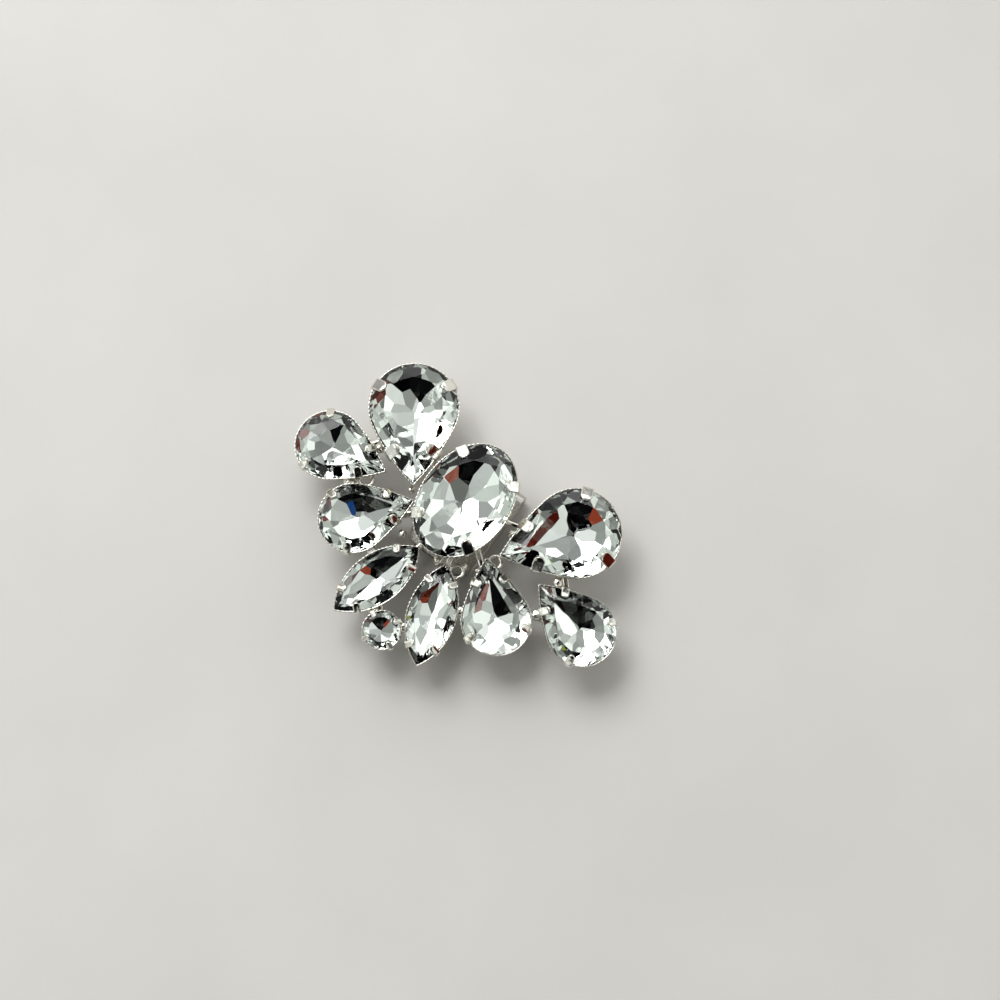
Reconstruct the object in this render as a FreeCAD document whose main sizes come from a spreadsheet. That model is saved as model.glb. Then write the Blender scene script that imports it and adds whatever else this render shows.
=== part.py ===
import FreeCAD, Part
import math
import os

import Sketcher
from FreeCAD import Placement, Rotation, Vector

# Rhinestone shoe clip: ten cut glass stones held by the claws of one soldered silver-plated
# setting, with a folded spring clip behind it that slips over the edge of a shoe.
#
# Millimetres and degrees. The clip lies on its back: +Z points out of the stones' tables,
# +X runs from the left wing to the right one and +Y points away from the shoe's toe, which is
# also where the spring clip is folded. The origin is on the surface that the clip lies on,
# under the middle of the outline.

# Driving dimensions that are not a stone's or a cut's own
SIZES = {
    # The outline's middle, measured from the point that the stones' places are given from
    "middle_across": 1.11,
    "middle_along": -6.06,
    # Spring clip: one strip folded flat, open towards the toe
    "clip_wide": 11.0,
    "clip_long": 15.5,
    "clip_sheet": 0.7,
    "clip_slot": 1.6,
    "clip_fold": 6.6,
    "clip_corner": 2.0,
    # Gaps that keep the separate pieces apart
    "clip_gap": 0.05,
    "stone_gap": 0.06,
    "culet_gap": 0.15,
    # Sheet metal of the cups, and the bars, rings and post that join them
    "cup_wall": 0.4,
    "cup_floor": 0.4,
    "bar_thick": 1.0,
    "bar_bite": 0.2,
    "ring_wide": 2.5,
    "ring_wire": 0.6,
    "ring_drop": 1.0,
    "post_thick": 7.6,
    # Claws: sheet tabs that rise from the rim and fold down on the stone
    "claw_sheet": 0.42,
    "claw_gap": 0.08,
    "claw_bevel": 0.15,
    "claw_root": 1.6,
    # Shares of a stone's outline that its table and its crown's middle corners have
    "table_share": 0.62,
    "crown_share": 0.84,
    "keel_share": 0.42,
    # Where a pear's flanks leave its round end, in degrees above the end's middle
    "flank_start": 25.0,
}

# Cuts. Length, width and the heights of the crown, girdle and pavilion are the stone's own.
# culet is how far the culet is from the middle of the length, towards the tip. inset is how
# much the cup narrows down to its floor. near and far are the claws' places, as shares of the
# outline's length from the tip, and claw_wide and claw_long are the claws' sizes.
CUT_COLUMNS = (
    "length", "width", "crown", "girdle", "pavilion", "culet",
    "sides", "inset", "near", "far", "claw_wide", "claw_long",
)
CUTS = {
    "oval": (18.0, 13.0, 1.9, 0.4, 3.5, 0.0, 14, 2.6, 0.118, 0.382, 1.7, 2.0),
    "large": (18.0, 13.0, 1.9, 0.4, 3.5, -1.9, 14, 2.6, 0.118, 0.359, 1.8, 2.1),
    "small": (14.0, 10.0, 1.5, 0.4, 2.9, -1.5, 12, 2.0, 0.104, 0.346, 1.2, 1.5),
    "navette": (15.0, 7.0, 1.2, 0.4, 2.4, 0.0, 12, 1.4, 0.093, 0.405, 1.1, 1.3),
    "round": (5.4, 5.4, 0.9, 0.3, 2.3, 0.0, 8, 0.8, 0.125, 0.375, 0.8, 0.9),
}
PEAR_CUTS = ("large", "small")

# Stones: where each one's middle stands across and along, which way its tip turns from +X,
# how far its seat rises above the lowest seats, and how far it leans outwards.
STONE_COLUMNS = ("across", "along", "turn", "rise", "lean")
STONES = {
    "oval_stone": ("oval", (-0.74, -0.23, 90.8, 1.6, 0.0)),
    "pear_large_left": ("large", (-13.83, 4.60, -53.8, 0.0, 2.5)),
    "pear_large_right": ("large", (13.55, 3.80, 233.4, 0.0, 2.5)),
    "pear_small_left": ("small", (-19.99, -4.82, 10.2, 0.0, 5.0)),
    "pear_small_right": ("small", (22.22, -4.95, 169.2, 0.0, 5.0)),
    "pear_medium_left": ("small", (-11.40, -10.27, 52.3, 0.0, 2.0)),
    "pear_medium_right": ("small", (11.82, -10.05, 135.6, 0.0, 2.0)),
    "navette_left": ("navette", (-4.48, -16.90, 72.9, 0.0, 2.0)),
    "navette_right": ("navette", (5.19, -16.38, 110.6, 0.0, 2.0)),
    "round_stone": ("round", (0.66, -22.50, 109.0, 0.0, 2.0)),
}

# Which stones' cups a bar on the back joins
JOINS = (
    ("oval_stone", "pear_large_left"),
    ("oval_stone", "pear_large_right"),
    ("oval_stone", "pear_medium_left"),
    ("oval_stone", "pear_medium_right"),
    ("oval_stone", "navette_left"),
    ("oval_stone", "navette_right"),
    ("pear_large_left", "pear_small_left"),
    ("pear_small_left", "pear_medium_left"),
    ("pear_large_right", "pear_small_right"),
    ("pear_small_right", "pear_medium_right"),
    ("pear_medium_left", "navette_left"),
    ("pear_medium_right", "navette_right"),
    ("navette_left", "round_stone"),
    ("navette_right", "round_stone"),
)

# Rings soldered flat between the cups, by the place of each one's middle
RING_COLUMNS = ("across", "along")
RINGS = {
    "ring_left": (-14.6, -6.0),
    "ring_middle": (4.2, -9.0),
    "ring_right": (7.9, -4.6),
}

# Steps that an outline is divided into to place the claws, and the least length that counts
OUTLINE_STEPS = 1000
TINY = 0.001

doc = FreeCAD.newDocument("shoe_clip")
sheet = doc.addObject("Spreadsheet::Sheet", "Sizes")


# The sheet of driving dimensions


def write_sizes(rows):
    """Write each name and its number to a row of the sheet, with the name as its alias."""
    for row, (name, number) in enumerate(rows, start=1):
        sheet.set(f"A{row}", name)
        sheet.set(f"B{row}", str(number))
        sheet.setAlias(f"B{row}", name)
    doc.recompute()


def all_sizes():
    """Every driving dimension as a name and a number."""
    rows = list(SIZES.items())
    for cut, numbers in CUTS.items():
        rows += [(f"{cut}_{column}", number) for column, number in zip(CUT_COLUMNS, numbers)]
    for stone, (_, numbers) in STONES.items():
        rows += [(f"{stone}_{column}", number) for column, number in zip(STONE_COLUMNS, numbers)]
    for ring, numbers in RINGS.items():
        rows += [(f"{ring}_{column}", number) for column, number in zip(RING_COLUMNS, numbers)]
    return rows


def size(name):
    """A driving dimension's number."""
    return float(sheet.get(name))


def back_height():
    """Height of the setting's back above the surface, just clear of the spring clip."""
    return 2 * size("clip_sheet") + size("clip_slot") + size("clip_gap")


def floor_height(name):
    """Height of the underside of a stone's cup above the surface."""
    return back_height() + size("bar_thick") - size("bar_bite") + size(f"{name}_rise")


def seat_depth(cut):
    """Depth of a cup's underside below the middle of its stone's girdle."""
    stone = size(f"{cut}_girdle") / 2 + size(f"{cut}_pavilion")
    return stone + size("culet_gap") + size("cup_floor")


# Outlines of the cuts, each in its own frame with its tip on +Y


def arc(centre, radius, start, end):
    """Arc about a centre from one direction to another, in degrees."""
    points = []
    for direction in (start, (start + end) / 2, end):
        angle = math.radians(direction)
        points.append(centre + Vector(radius * math.cos(angle), radius * math.sin(angle), 0))
    return Part.Arc(*points).toShape()


def pear_edges(length, width, grow):
    """A round end and two flanks that meet at the tip, grown outwards by some distance."""
    end = width / 2
    reach = length - end
    start = size("flank_start")
    lean = math.radians(start)
    span = (reach**2 - end**2) / (2 * (end - reach * math.sin(lean)))
    flank = span + end + grow
    middle = Vector(0, end - length / 2, 0)
    centre = middle - Vector(span * math.cos(lean), span * math.sin(lean), 0)
    at_tip = math.degrees(math.acos(-centre.x / flank))
    mirrored = Vector(-centre.x, centre.y, 0)
    return [
        arc(centre, flank, at_tip, start),
        arc(middle, end + grow, start, -180 - start),
        arc(mirrored, flank, 180 - start, 180 - at_tip),
    ]


def navette_edges(length, width, grow):
    """Two equal arcs that meet at a tip on each end, grown outwards by some distance."""
    radius = (length**2 + width**2) / (4 * width)
    centre = Vector(width / 2 - radius, 0, 0)
    at_tip = math.degrees(math.acos(-centre.x / (radius + grow)))
    return [
        arc(centre, radius + grow, at_tip, -at_tip),
        arc(-centre, radius + grow, 180 + at_tip, 180 - at_tip),
    ]


def outline(cut, grow=0.0, height=0.0):
    """Closed wire of a cut's outline, grown outwards, at a height."""
    length = size(f"{cut}_length")
    width = size(f"{cut}_width")
    if cut in PEAR_CUTS:
        edges = pear_edges(length, width, grow)
    elif cut == "navette":
        edges = navette_edges(length, width, grow)
    else:
        tip = Vector(0, length / 2 + grow, 0)
        side = Vector(width / 2 + grow, 0, 0)
        edges = [Part.Ellipse(tip, side, Vector()).toShape()]
        if length == width:
            edges = [Part.makeCircle(width / 2 + grow)]
    wire = Part.Wire(edges)
    wire.translate(Vector(0, 0, height))
    return wire


def loft(sections):
    """Solid with straight walls through closed wires."""
    return Part.makeLoft(sections, True, True)


# Where each stone stands


def place_of(name, height):
    """The place of a stone's or a ring's middle, at a height."""
    across = size(f"{name}_across") - size("middle_across")
    along = size(f"{name}_along") - size("middle_along")
    return Vector(across, along, height)


def stone_placement(name, cut):
    """Turn a stone and its cup to its place, leaning away from the middle."""
    place = place_of(name, floor_height(name) + seat_depth(cut))
    axis = Vector(-place.y, place.x, 0)
    turn = Rotation(Vector(0, 0, 1), size(f"{name}_turn") - 90)
    lean = Rotation(axis, size(f"{name}_lean"))
    return Placement(place, lean.multiply(turn))


def feature(name, shape, placement):
    """Add a shape to the document as an object with a label, moved by a placement."""
    made = doc.addObject("Part::Feature", name)
    made.Label = name
    made.Shape = shape
    made.Placement = placement.multiply(shape.Placement)
    return made


# Cut stones


def shrunk(points, share, culet, height):
    """Points drawn in towards the culet's axis to a share of their distance, at a height."""
    ring = []
    for point in points:
        ring.append(Vector(point.x * share, culet + (point.y - culet) * share, height))
    return ring


def stone_facets(cut):
    """Corner lists of a stone's facets: table, stars, kites, girdle, pavilion halves and keels."""
    sides = int(size(f"{cut}_sides"))
    crown = size(f"{cut}_crown")
    pavilion = size(f"{cut}_pavilion")
    belt = size(f"{cut}_girdle") / 2
    culet = size(f"{cut}_culet")
    rim = outline(cut).discretize(Number=2 * sides + 1)[:-1]
    half_turn = math.cos(math.pi / sides)
    crown_share = size("crown_share")
    keel_share = size("keel_share")
    crown_rise = crown * (1 - crown_share * half_turn) / (1 - size("table_share"))
    keel_drop = pavilion * (1 - keel_share * half_turn)
    top = shrunk(rim, 1.0, culet, belt)
    bottom = shrunk(rim, 1.0, culet, -belt)
    table = shrunk(rim[::2], size("table_share"), culet, belt + crown)
    corners = shrunk(rim[1::2], crown_share, culet, belt + crown_rise)
    keels = shrunk(rim[1::2], keel_share, culet, -belt - keel_drop)
    point = Vector(0, culet, -belt - pavilion)
    facets = [table]
    for side in range(sides):
        after = (side + 1) % sides
        main, between, following = 2 * side, 2 * side + 1, 2 * after
        facets += [
            (table[side], table[after], corners[side]),
            (table[side], corners[side], top[main]),
            (table[after], top[following], corners[side]),
            (corners[side], top[between], top[main]),
            (corners[side], top[following], top[between]),
            (top[main], top[between], bottom[between], bottom[main]),
            (top[between], top[following], bottom[following], bottom[between]),
            (bottom[main], bottom[between], keels[side]),
            (bottom[between], bottom[following], keels[side]),
            (bottom[main], keels[side], point),
            (bottom[following], point, keels[side]),
        ]
    return facets


def cut_stone(cut):
    """Solid of a stone from its facets, with the middle of its girdle at height 0."""
    faces = []
    for corners in stone_facets(cut):
        corners = list(corners)
        faces.append(Part.Face(Part.makePolygon(corners + corners[:1])))
    solid = Part.makeSolid(Part.makeShell(faces))
    if solid.Volume < 0:
        solid.reverse()
    return solid


# Claw cups


def cup_levels(cut):
    """Heights of a cup's underside, floor, waist and rim about the middle of its stone's girdle."""
    under = -seat_depth(cut)
    belt = size(f"{cut}_girdle") / 2
    return under, under + size("cup_floor"), -belt, belt


def cup_shell(cut):
    """A cup's outer form, filled: upright round the girdle, then narrowing to its underside."""
    under, _, waist, rim = cup_levels(cut)
    base = outline(cut, -size(f"{cut}_inset"), under)
    grow = size("stone_gap") + size("cup_wall")
    return loft([base, outline(cut, grow, waist), outline(cut, grow, rim)])


def cup_hollow(cut):
    """The room inside a cup for its stone, open at the top and clear of the rim."""
    _, floor, waist, rim = cup_levels(cut)
    base = outline(cut, -size(f"{cut}_inset") - size("cup_wall"), floor)
    gap = size("stone_gap")
    top = rim + size(f"{cut}_crown")
    return loft([base, outline(cut, gap, waist - gap), outline(cut, gap, top)])


def claw_profile(cut, crown_run):
    """Side view of a claw, with distance out from the girdle as X: root, bend and folded tip."""
    under, _, waist, rim = cup_levels(cut)
    gap = size("claw_gap")
    sheet_thick = size("claw_sheet")
    slope = math.atan2(size(f"{cut}_crown"), crown_run)
    tip_run = size(f"{cut}_claw_long") * math.cos(slope)
    inner = size("stone_gap") + size("cup_wall") / 2
    outer = size("stone_gap") + size("cup_wall") + sheet_thick / 2
    root = size("claw_root")
    draft = (size("stone_gap") + size("cup_wall") + size(f"{cut}_inset")) / (waist - under)
    bevel = size("claw_bevel")

    def above_crown(out, clear):
        return rim - out * math.tan(slope) + clear / math.cos(slope)

    corners = [
        Vector(inner - root * draft, 0, waist - root),
        Vector(inner, 0, waist),
        Vector(inner, 0, above_crown(inner, gap)),
        Vector(-tip_run, 0, above_crown(-tip_run, gap)),
        Vector(-tip_run, 0, above_crown(-tip_run, gap + sheet_thick)),
        Vector(outer - bevel, 0, above_crown(outer - bevel, gap + sheet_thick)),
        Vector(outer, 0, above_crown(outer, gap + sheet_thick) - bevel),
        Vector(outer, 0, waist),
        Vector(outer - root * draft, 0, waist - root),
    ]
    return Part.Face(Part.makePolygon(corners + corners[:1])), tip_run


def claw(cut, point, outwards, crown_run):
    """One claw at a point of the girdle: a bent tab with a rounded end."""
    profile, tip_run = claw_profile(cut, crown_run)
    wide = size(f"{cut}_claw_wide")
    profile.translate(Vector(0, -wide / 2, 0))
    tab = profile.extrude(Vector(0, wide, 0))
    under, _, _, rim = cup_levels(cut)
    tall = 2 * (rim - under)
    round_end = Part.makeCylinder(wide / 2, tall, Vector(wide / 2 - tip_run, 0, under))
    straight = Part.makeBox(
        2 * tip_run + wide, wide, tall, Vector(wide / 2 - tip_run, -wide / 2, under)
    )
    tab = tab.common(round_end.fuse(straight))
    tab.rotate(Vector(), Vector(0, 0, 1), math.degrees(math.atan2(outwards.y, outwards.x)))
    tab.translate(Vector(point.x, point.y, 0))
    return tab


def claws(cut):
    """A cut's four claws."""
    points = outline(cut).discretize(Number=OUTLINE_STEPS + 1)
    axis = Vector(0, size(f"{cut}_culet"), 0)
    made = []
    for share in (size(f"{cut}_near"), size(f"{cut}_far")):
        steps = round(share * OUTLINE_STEPS)
        for index in (steps, OUTLINE_STEPS - steps):
            along = points[index + 1] - points[index - 1]
            outwards = Vector(along.y, -along.x, 0).normalize()
            point = points[index]
            if outwards.dot(point - axis) < 0:
                outwards = -outwards
            crown_run = (1 - size("table_share")) * outwards.dot(point - axis)
            made.append(claw(cut, point, outwards, crown_run))
    return made


# Bars, rings and post of the setting


def bar_between(first, second):
    """A square bar on the back, between the middles of two cups' undersides."""
    start, end = (back_middle(name) for name in (first, second))
    along = end - start
    bar = doc.addObject("Part::Box", f"bar_{first}_{second}")
    bar.setExpression("Width", "Sizes.bar_thick")
    bar.setExpression("Height", "Sizes.bar_thick")
    bar.Length = along.Length
    turn = Rotation(Vector(1, 0, 0), along)
    side = turn.multVec(Vector(0, size("bar_thick") / 2, 0))
    bar.Placement = Placement(start - side, turn)
    return bar


def back_middle(name):
    """Middle of a cup's underside, at the height of the back."""
    return place_of(name, back_height())


def flat_ring(name):
    """A wire ring that lies flat between the cups, a little below the pears' rims."""
    height = floor_height("pear_small_left") + seat_depth("small") - size("ring_drop")
    ring = doc.addObject("Part::Torus", name)
    ring.setExpression("Radius1", "(Sizes.ring_wide - Sizes.ring_wire) / 2")
    ring.setExpression("Radius2", "Sizes.ring_wire / 2")
    ring.Placement = Placement(place_of(name, height), Rotation())
    return ring


def centre_post():
    """The post that carries the raised middle cup from the back."""
    post = doc.addObject("Part::Cylinder", "centre_post")
    post.setExpression("Radius", "Sizes.post_thick / 2")
    post.setExpression("Height", "Sizes.bar_thick + Sizes.oval_stone_rise")
    post.Placement = Placement(place_of("oval_stone", back_height()), Rotation())
    return post


def claw_cup(name, cut, placement):
    """One stone's cup: its outer form less the room for the stone."""
    cup = doc.addObject("Part::Cut", f"{name}_cup")
    cup.Base = feature(f"{name}_shell", cup_shell(cut), placement)
    cup.Tool = feature(f"{name}_hollow", cup_hollow(cut), placement)
    return cup


def fused(name, pieces):
    """Pieces soldered into one, as a named object."""
    made = doc.addObject("Part::MultiFuse", name)
    made.Label = name
    made.Shapes = pieces
    return made


def setting_frame(placements):
    """Cups with their claws, joined by bars, rings and a post into one solid."""
    cups = []
    for name, (cut, _) in STONES.items():
        place = placements[name]
        tabs = [feature(f"{name}_claw", tab, place) for tab in claws(cut)]
        cups.append(fused(f"{name}_setting", [claw_cup(name, cut, place)] + tabs))
    bars = [bar_between(first, second) for first, second in JOINS]
    back = fused("back_bars", [centre_post()] + bars)
    rings = [flat_ring(name) for name in RINGS]
    body = fused("cups_on_bars", [back] + cups)
    return fused("setting_frame", [body] + rings)


# Spring clip


def clip_sketch(body):
    """Side view of the folded strip: two straight leaves and the fold between them."""
    sheet_thick = size("clip_sheet")
    slot = size("clip_slot")
    outer = sheet_thick + slot / 2
    inner = slot / 2
    fold = size("clip_fold") - outer
    mouth = size("clip_fold") - size("clip_long")
    sketch = body.newObject("Sketcher::SketchObject", "clip_side")
    plane = next(f for f in body.Origin.OriginFeatures if f.Role == "YZ_Plane")
    sketch.AttachmentSupport = (plane, [""])
    sketch.MapMode = "FlatFace"

    def line(y0, z0, y1, z1):
        return Part.LineSegment(Vector(y0, z0, 0), Vector(y1, z1, 0))

    def bend(radius):
        circle = Part.Circle(Vector(fold, outer, 0), Vector(0, 0, 1), radius)
        return Part.ArcOfCircle(circle, -math.pi / 2, math.pi / 2)

    sketch.addGeometry(
        [
            line(mouth, 0, fold, 0),
            bend(outer),
            line(fold, 2 * outer, mouth, 2 * outer),
            line(mouth, 2 * outer, mouth, outer + inner),
            line(mouth, outer + inner, fold, outer + inner),
            bend(inner),
            line(fold, outer - inner, mouth, outer - inner),
            line(mouth, outer - inner, mouth, 0),
        ],
        False,
    )
    joints = [(0, 2, 1, 1), (1, 2, 2, 1), (4, 2, 5, 2), (5, 1, 6, 1)]
    corners = [(2, 2, 3, 1), (3, 2, 4, 1), (6, 2, 7, 1), (7, 2, 0, 1)]
    sketch.addConstraint([Sketcher.Constraint("Tangent", *ends) for ends in joints])
    sketch.addConstraint([Sketcher.Constraint("Coincident", *ends) for ends in corners])
    sketch.addConstraint([Sketcher.Constraint("Horizontal", n) for n in (0, 2, 4, 6)])
    sketch.addConstraint([Sketcher.Constraint("Vertical", n) for n in (3, 7)])
    sketch.addConstraint(Sketcher.Constraint("Coincident", 1, 3, 5, 3))
    sketch.addConstraint(Sketcher.Constraint("PointOnObject", 0, 1, -1))
    driven = (
        ("sheet", Sketcher.Constraint("DistanceY", 7, 2, 7, 1, sheet_thick), "Sizes.clip_sheet"),
        ("slot", Sketcher.Constraint("DistanceY", 6, 2, 4, 1, slot), "Sizes.clip_slot"),
        ("long", Sketcher.Constraint("DistanceX", 0, 1, 1, 3, fold - mouth),
         "Sizes.clip_long - Sizes.clip_sheet - Sizes.clip_slot / 2"),
        ("place", Sketcher.Constraint("DistanceX", -1, 1, 1, 3, fold),
         "Sizes.clip_fold - Sizes.clip_sheet - Sizes.clip_slot / 2"),
        ("flush", Sketcher.Constraint("DistanceX", 3, 1, 7, 2, 0.0), None),
    )
    for name, constraint, formula in driven:
        index = sketch.addConstraint(constraint)
        if formula:
            sketch.renameConstraint(index, name)
            sketch.setExpression(f"Constraints.{name}", formula)
    return sketch


def shoe_clip():
    """Body of the clip: the folded strip, with its leaves' corners rounded at the mouth."""
    body = doc.addObject("PartDesign::Body", "shoe_clip")
    body.Label = "shoe_clip"
    sketch = clip_sketch(body)
    doc.recompute()
    pad = body.newObject("PartDesign::Pad", "clip_strip")
    pad.Profile = sketch
    pad.Midplane = True
    pad.setExpression("Length", "Sizes.clip_wide")
    doc.recompute()
    mouth = pad.Shape.BoundBox.YMin
    upright = []
    for index, edge in enumerate(pad.Shape.Edges, start=1):
        at_mouth = abs(edge.BoundBox.YMax - mouth) < TINY
        if at_mouth and edge.BoundBox.ZLength > TINY:
            upright.append(f"Edge{index}")
    rounded = body.newObject("PartDesign::Fillet", "clip_corners")
    rounded.Base = (pad, upright)
    rounded.setExpression("Radius", "Sizes.clip_corner")
    body.Tip = rounded
    body.Placement = Placement(Vector(-size("middle_across"), -size("middle_along"), 0), Rotation())
    return body


# Build, check and write


def build():
    """All the pieces, in the order that they are written in."""
    write_sizes(all_sizes())
    placements = {name: stone_placement(name, cut) for name, (cut, _) in STONES.items()}
    pieces = [feature(name, cut_stone(cut), placements[name]) for name, (cut, _) in STONES.items()]
    pieces.append(setting_frame(placements))
    pieces.append(shoe_clip())
    doc.recompute()
    return pieces


def check(pieces):
    """Stop if an object failed, or if a piece is not one valid solid."""
    for made in doc.Objects:
        if {"Invalid", "Error"} & set(made.State):
            raise RuntimeError(f"{made.Name} failed: {made.State}")
    for piece in pieces:
        shape = piece.Shape
        if shape.isNull() or not shape.isValid() or len(shape.Solids) != 1:
            raise RuntimeError(f"{piece.Label} is not one valid solid")


def write(pieces):
    """Write each piece to its own file and print its box and volume."""
    os.makedirs("parts", exist_ok=True)
    whole = FreeCAD.BoundBox()
    for piece in pieces:
        box = piece.Shape.BoundBox
        whole.add(box)
        print(f"{piece.Label}: {piece.Shape.Volume:.1f} mm3, {len(piece.Shape.Faces)} faces")
        piece.Shape.exportStep(f"parts/{piece.Label}.step")
    print(f"whole: {whole}")


pieces = build()
check(pieces)
write(pieces)
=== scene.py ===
"""Looks of a rhinestone shoe clip: cut stones in claw cups, soldered on bars over a spring clip."""

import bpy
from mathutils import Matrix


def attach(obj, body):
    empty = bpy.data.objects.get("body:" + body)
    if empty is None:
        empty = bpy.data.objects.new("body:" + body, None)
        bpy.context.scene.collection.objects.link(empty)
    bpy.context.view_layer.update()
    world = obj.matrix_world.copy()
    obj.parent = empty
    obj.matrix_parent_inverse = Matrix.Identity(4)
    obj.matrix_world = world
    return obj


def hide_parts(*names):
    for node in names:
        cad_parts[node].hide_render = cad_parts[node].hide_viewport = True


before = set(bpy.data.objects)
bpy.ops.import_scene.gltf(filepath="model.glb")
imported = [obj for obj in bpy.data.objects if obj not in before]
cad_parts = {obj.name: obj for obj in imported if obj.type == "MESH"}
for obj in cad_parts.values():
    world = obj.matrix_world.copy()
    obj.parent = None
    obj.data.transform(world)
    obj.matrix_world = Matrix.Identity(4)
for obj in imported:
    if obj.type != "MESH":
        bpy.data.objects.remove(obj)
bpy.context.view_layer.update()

import logging
import math
import random
from dataclasses import dataclass
from enum import Enum
from typing import Callable, Iterable

import bmesh
import bpy
from mathutils import Matrix, Vector, noise

log = logging.getLogger("shoe_clip")

MM = 0.001
TURN = 2 * math.pi
# One ring of a body: from a share of the ring to a point
Section = Callable[[float], Vector]
# Points round the section of a bar, a claw or the clip, shared out over its four corners
BOX_POINTS = 16
# Full height of the bumps in the materials, in metres
BUMP_HEIGHT = 0.0001

# Sizes that several pieces share, in mm
# The outline's middle, measured from the point that the places below are given from
MIDDLE = Vector((1.11, -6.06, 0.0))
# The bars' underside over the surface, their thickness, and how deep the cups sit in them
BACK_HEIGHT = 3.05
BAR_THICK = 1.0
BAR_BITE = 0.2
# Room round a stone's girdle and below its culet
STONE_GAP = 0.06
CULET_GAP = 0.15
# The cups' sheet in the wall and in the floor
CUP_WALL = 0.4
CUP_FLOOR = 0.4


class OutlineKind(Enum):
    """Form of a stone's outline, seen from above."""

    OVAL = "oval"
    PEAR = "pear"
    NAVETTE = "navette"


class Slot(Enum):
    """Material slots of the record."""

    GLASS = "cut_glass"
    PLATE = "silver_plate"
    STEEL = "clip_steel"


# Outlines


@dataclass(frozen=True)
class Outline:
    """A stone's outline with its tip on +Y. Places on it are shares of its length from the tip.

    Args:
        kind: Form of the outline.
        length: Length along Y, in mm.
        width: Width along X, in mm.
        flank_start: Direction on a pear's round end where its flank begins.
        evening: How strongly places on an oval are evened out along its length.
    """

    kind: OutlineKind
    length: float
    width: float
    flank_start: float = math.radians(25.0)
    evening: float = 0.75

    def arcs(self, grow: float) -> list[tuple[Vector, float, float, float]]:
        """Centre, radius and first and last direction of each arc, clockwise from the tip.

        Args:
            grow: Distance that the outline is grown outwards by.
        """
        if self.kind is OutlineKind.NAVETTE:
            radius = (self.length**2 + self.width**2) / (4 * self.width)
            centre = Vector((self.width / 2 - radius, 0, 0))
            tip = math.acos(-centre.x / (radius + grow))
            return [
                (centre, radius + grow, tip, -tip),
                (-centre, radius + grow, math.pi + tip - TURN, math.pi - tip - TURN),
            ]
        end = self.width / 2
        reach = self.length - end
        lean = self.flank_start
        span = (reach**2 - end**2) / (2 * (end - reach * math.sin(lean)))
        middle = Vector((0, end - self.length / 2, 0))
        centre = middle - Vector((span * math.cos(lean), span * math.sin(lean), 0))
        mirrored = Vector((-centre.x, centre.y, 0))
        flank = span + end + grow
        tip = math.acos(-centre.x / flank)
        return [
            (centre, flank, tip, lean),
            (middle, end + grow, lean, -math.pi - lean),
            (mirrored, flank, -math.pi - lean, -math.pi - tip),
        ]

    def oval_angle(self, share: float) -> float:
        """Angle on the ellipse at a share of its length.

        Args:
            share: Share of the length, clockwise from the tip.
        """
        flatness = (self.length - self.width) / (self.width + self.length)
        around = share * TURN
        return around + self.evening * flatness * math.sin(2 * around)

    def at(self, share: float, grow: float = 0.0) -> Vector:
        """Point of the outline.

        Args:
            share: Share of the length, clockwise from the tip.
            grow: Distance that the outline is grown outwards by.
        """
        share %= 1.0
        if self.kind is OutlineKind.OVAL:
            angle = self.oval_angle(share)
            across = (self.width / 2 + grow) * math.sin(angle)
            return Vector((across, (self.length / 2 + grow) * math.cos(angle), 0))
        index, inside = self.find(share)
        centre, radius, first, last = self.arcs(grow)[index]
        angle = first + (last - first) * inside
        return centre + radius * Vector((math.cos(angle), math.sin(angle), 0))

    def find(self, share: float) -> tuple[int, float]:
        """Which arc a share of the length falls on, and how far along that arc.

        Args:
            share: Share of the length, clockwise from the tip.
        """
        lengths = [radius * (first - last) for _, radius, first, last in self.arcs(0.0)]
        left = share * sum(lengths)
        for index, length in enumerate(lengths):
            if left <= length or index == len(lengths) - 1:
                return index, min(left / length, 1.0)
            left -= length
        raise ValueError("a share lies past the outline")

    def outwards(self, share: float) -> Vector:
        """Direction out of the outline.

        Args:
            share: Share of the length, clockwise from the tip.
        """
        step = 0.002
        along = self.at(share + step) - self.at(share - step)
        return Vector((-along.y, along.x, 0)).normalized()

    def perimeter(self) -> float:
        """Length of the outline."""
        steps = 200
        points = [self.at(step / steps) for step in range(steps)]
        return sum((a - b).length for a, b in zip(points, points[1:] + points[:1]))


# Cuts


@dataclass(frozen=True)
class Tier:
    """A ring of flat facets. Each one holds two lines that run along the outline.

    Args:
        count: Facets round the stone.
        turns: Places of the facets inside a step of the ring, as shares of the step.
        outer: Share of the outline and share of the height of the outer line.
        inner: The same of the inner line.
    """

    count: int
    turns: tuple[float, ...]
    outer: tuple[float, float]
    inner: tuple[float, float]


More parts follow.
